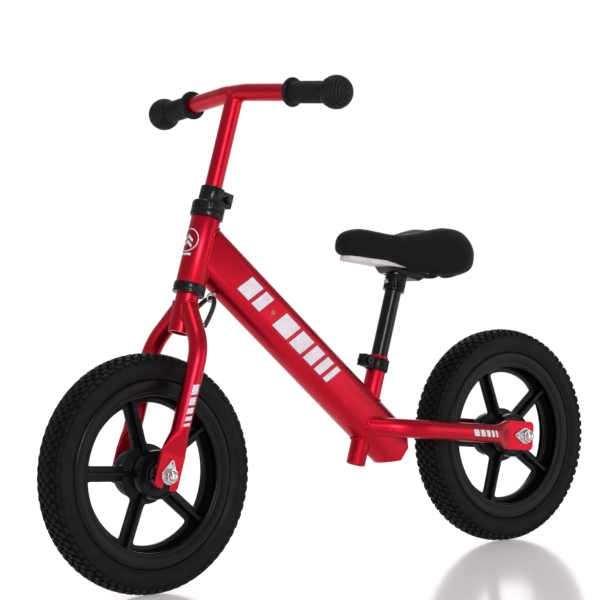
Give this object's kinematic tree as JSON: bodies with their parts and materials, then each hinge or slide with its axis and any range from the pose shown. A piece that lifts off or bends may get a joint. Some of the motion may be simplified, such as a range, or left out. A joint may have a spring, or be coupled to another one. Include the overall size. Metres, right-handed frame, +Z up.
{
  "type": "balance bike",
  "caption": "Child's pedal-less balance bike with an oval main tube, steered fork, foam-tyred spoked wheels, and sliding handlebar and saddle.",
  "frame": {"origin": "on the floor, under the middle of the wheelbase, in the bike's middle plane", "axes": "+X forwards, +Y to the rider's left, +Z up"},
  "size_m": [0.9019, 0.396, 0.6262],
  "materials": {
    "red_paint": "candy metallic",
    "black_paint": "gloss",
    "black_plastic": "satin",
    "grey_plastic": "matte",
    "saddle_fabric": "knitted cover over foam",
    "foam_tyre": "matte foam",
    "grip_rubber": "ribbed",
    "cord_rubber": "satin",
    "chrome_nut": "polished",
    "black_steel": "blackened",
    "bright_steel": "zinc plated"
  },
  "bodies": {
    "frame": {"main_tube": "red_paint", "head_tube": "red_paint", "seat_tube": "red_paint", "rear_stay_left": "red_paint", "rear_stay_right": "red_paint", "upper_headset_cup": "black_paint", "lower_headset_cup": "black_paint", "seat_clamp": "black_paint", "seat_clamp_bolt": "bright_steel", "seat_clamp_nut": "bright_steel", "limiter_eye": "bright_steel", "rear_axle": "bright_steel", "rear_bearing_inner_rings": "bright_steel", "rear_axle_spacers": "black_steel", "rear_tab_washers": "bright_steel", "rear_dome_nuts": "chrome_nut"},
    "fork": {"steerer_tube": "red_paint", "fork_leg_left": "red_paint", "fork_leg_right": "red_paint", "crown_race": "black_paint", "lower_headset_bearing": "bright_steel", "upper_headset_bearing": "bright_steel", "headset_top_cap": "black_paint", "handlebar_clamp": "black_paint", "handlebar_clamp_bolt": "bright_steel", "handlebar_clamp_nut": "bright_steel", "limiter_anchors": "bright_steel", "limiter_cord": "cord_rubber", "front_axle": "bright_steel", "front_bearing_inner_rings": "bright_steel", "front_axle_spacers": "black_steel", "front_tab_washers": "bright_steel", "front_dome_nuts": "chrome_nut"},
    "handlebar": {"handlebar_post": "red_paint", "handlebar_bar": "red_paint", "grip_left": "grip_rubber", "grip_right": "grip_rubber"},
    "seat": {"seat_post": "black_paint", "saddle_bracket": "black_plastic", "bracket_screw": "bright_steel", "pan_screws": "bright_steel", "saddle_pan": "grey_plastic", "saddle_cover": "saddle_fabric"},
    "front_wheel": {"front_tyre": "foam_tyre", "front_rim": "black_plastic", "front_bearing_outer_rings": "bright_steel", "front_bearing_balls": "bright_steel"},
    "rear_wheel": {"rear_tyre": "foam_tyre", "rear_rim": "black_plastic", "rear_bearing_outer_rings": "bright_steel", "rear_bearing_balls": "bright_steel"}
  },
  "joints": [
    {"name": "steering", "type": "hinge", "parent": "frame", "child": "fork", "pos_m": [0.3035, 0, 0.1475], "axis": [-0.3256, 0, 0.9455], "range_deg": [-40, 40], "deforming": ["limiter_cord"]},
    {"name": "handlebar_height", "type": "slide", "parent": "fork", "child": "handlebar", "axis": [-0.3256, 0, 0.9455], "range_m": [-0.045, 0.03]},
    {"name": "seat_height", "type": "slide", "parent": "frame", "child": "seat", "axis": [-0.3256, 0, 0.9455], "range_m": [-0.055, 0.035]},
    {"name": "front_wheel_spin", "type": "hinge", "parent": "fork", "child": "front_wheel", "pos_m": [0.3035, 0, 0.1475], "axis": [0, 1, 0], "continuous": true},
    {"name": "rear_wheel_spin", "type": "hinge", "parent": "frame", "child": "rear_wheel", "pos_m": [-0.3035, 0, 0.1475], "axis": [0, 1, 0], "continuous": true}
  ]
}
